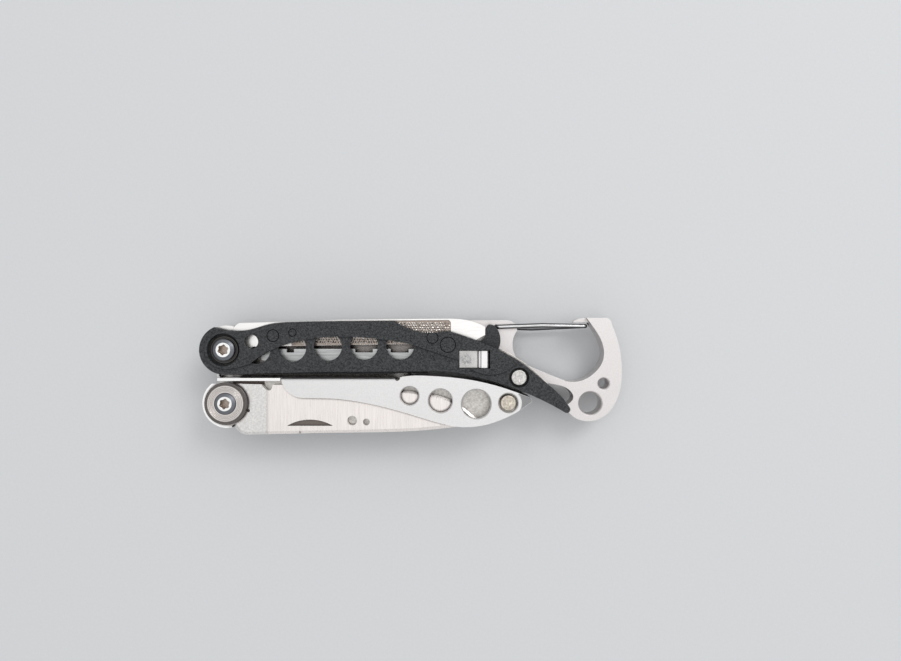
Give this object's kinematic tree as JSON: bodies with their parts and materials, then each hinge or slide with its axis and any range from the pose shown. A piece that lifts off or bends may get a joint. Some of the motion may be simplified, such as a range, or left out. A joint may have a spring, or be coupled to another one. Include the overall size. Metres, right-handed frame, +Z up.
{
  "type": "folding pocket multi-tool",
  "caption": "Folded pocket multi-tool: two pivoting handles with knife, file, tweezers and stowed scissors, ending in a wire-gate carabiner.",
  "frame": {"origin": "bottom centre of the folded tool's bounding box, on the plane it lies on", "axes": "+X along the handles towards the carabiner; +Y from the knife handle to the file handle; +Z up out of the front scales"},
  "size_m": [0.0762, 0.0211, 0.0098],
  "materials": {
    "black_nylon": "fine-grained glass-filled nylon",
    "satin_steel": "satin sheet steel",
    "blasted_steel": "bead-blasted stainless steel",
    "polished_steel": "polished spring steel",
    "knife_steel": "ground across the blade",
    "dark_steel": "dark oxide",
    "file_steel": "cut file steel"
  },
  "bodies": {
    "upper_handle": {"upper_front_scale": "black_nylon", "upper_front_liner": "satin_steel", "upper_spine_spacer": "satin_steel", "spine_rivets": "satin_steel", "carabiner_plate": "blasted_steel", "upper_back_liner": "satin_steel", "upper_back_scale": "black_nylon", "upper_pivot_sleeve": "dark_steel", "upper_pivot_screw": "dark_steel", "upper_pivot_washer": "satin_steel", "upper_rivet": "satin_steel", "retaining_spring": "polished_steel"},
    "gate": {"wire_gate": "polished_steel"},
    "tweezers": {"tweezers_front_tine": "satin_steel", "tweezers_back_tine": "satin_steel", "tweezers_cap": "black_nylon"},
    "file": {"file_screwdriver": "file_steel"},
    "scissor_a": {"scissor_blade_a": "satin_steel", "scissor_pivot_pin": "satin_steel", "scissor_spring": "polished_steel"},
    "scissor_b": {"scissor_blade_b": "satin_steel"},
    "lower_handle": {"lower_front_channel": "blasted_steel", "lower_back_liner": "satin_steel", "lower_back_scale": "blasted_steel", "lower_end_block": "blasted_steel", "lower_rivet": "satin_steel", "lower_pivot_sleeve": "dark_steel", "lower_pivot_screw": "dark_steel", "lower_pivot_washer": "satin_steel", "lower_spacer_washer": "dark_steel"},
    "knife": {"knife_blade": "knife_steel"}
  },
  "joints": [
    {"name": "scissors_unfold", "type": "hinge", "parent": "upper_handle", "child": "scissor_a", "pos_m": [-0.03374, 0.00484, 0.004], "axis": [0, 0, -1], "range_deg": [0, 172]},
    {"name": "scissors_open", "type": "hinge", "parent": "scissor_a", "child": "scissor_b", "pos_m": [-0.0266, 0.00005, 0.004], "axis": [0, 0, 1], "range_deg": [0, 28.2]},
    {"name": "lower_handle_unfold", "type": "hinge", "parent": "scissor_b", "child": "lower_handle", "pos_m": [-0.0336, -0.0048, 0.004], "axis": [0, 0, -1], "range_deg": [0, 172]},
    {"name": "knife_open", "type": "hinge", "parent": "lower_handle", "child": "knife", "pos_m": [-0.0336, -0.0048, 0.004], "axis": [0, 0, -1], "range_deg": [0, 176]},
    {"name": "file_open", "type": "hinge", "parent": "upper_handle", "child": "file", "pos_m": [-0.03374, 0.00484, 0.004], "axis": [0, 0, -1], "range_deg": [-180, 0]},
    {"name": "gate_open", "type": "hinge", "parent": "upper_handle", "child": "gate", "pos_m": [0.015, 0.00895, 0.004], "axis": [0, 0, -1], "range_deg": [0, 34], "stiffness_Nm_per_rad": 0.01, "springref_deg": -17.19},
    {"name": "tweezers_slide", "type": "slide", "parent": "upper_handle", "child": "tweezers", "axis": [1, 0, 0], "range_m": [0, 0.036]}
  ],
  "couplings": [
    {"joint": "scissors_open", "follows": "scissors_unfold", "ratio": 0.16279}
  ]
}
